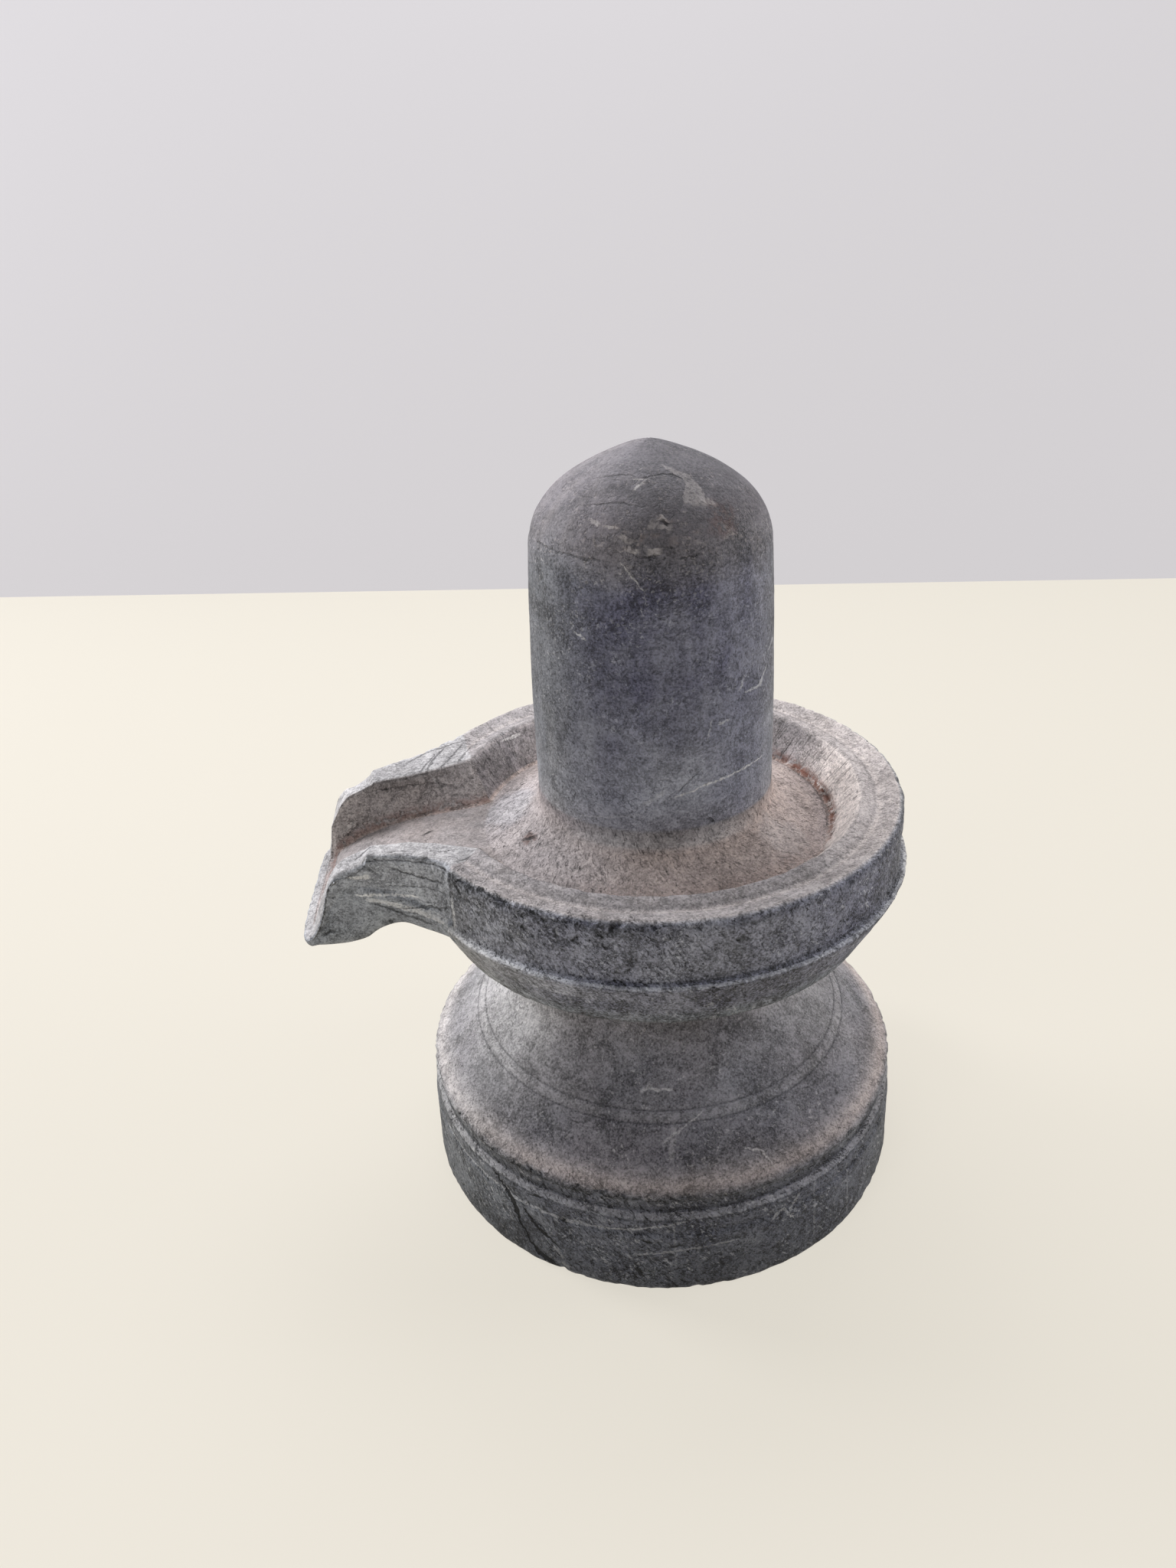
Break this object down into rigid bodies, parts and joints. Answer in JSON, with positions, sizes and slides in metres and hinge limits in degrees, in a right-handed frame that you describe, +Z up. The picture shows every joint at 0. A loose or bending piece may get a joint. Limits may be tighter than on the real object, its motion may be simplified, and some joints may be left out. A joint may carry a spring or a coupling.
{
  "type": "carved stone shivalinga with spouted pedestal",
  "caption": "Shivalinga carved from one stone: a round-headed shaft rising from a round bowl with a beak-like pouring spout, on a waisted pedestal and a drum foot.",
  "frame": {"origin": "middle of the flat underside of the drum, on the axis the stone was turned about", "axes": "+Z up along the shaft, -X the way the spout points, level"},
  "size_m": [0.1433, 0.1202, 0.18],
  "materials": {
    "dark_stone": "hand-dressed dark grey stone, matt, with fine chisel marks and pale stone dust in its hollows"
  },
  "bodies": {
    "root": {"shiva_lingam": "dark_stone"}
  },
  "joints": []
}
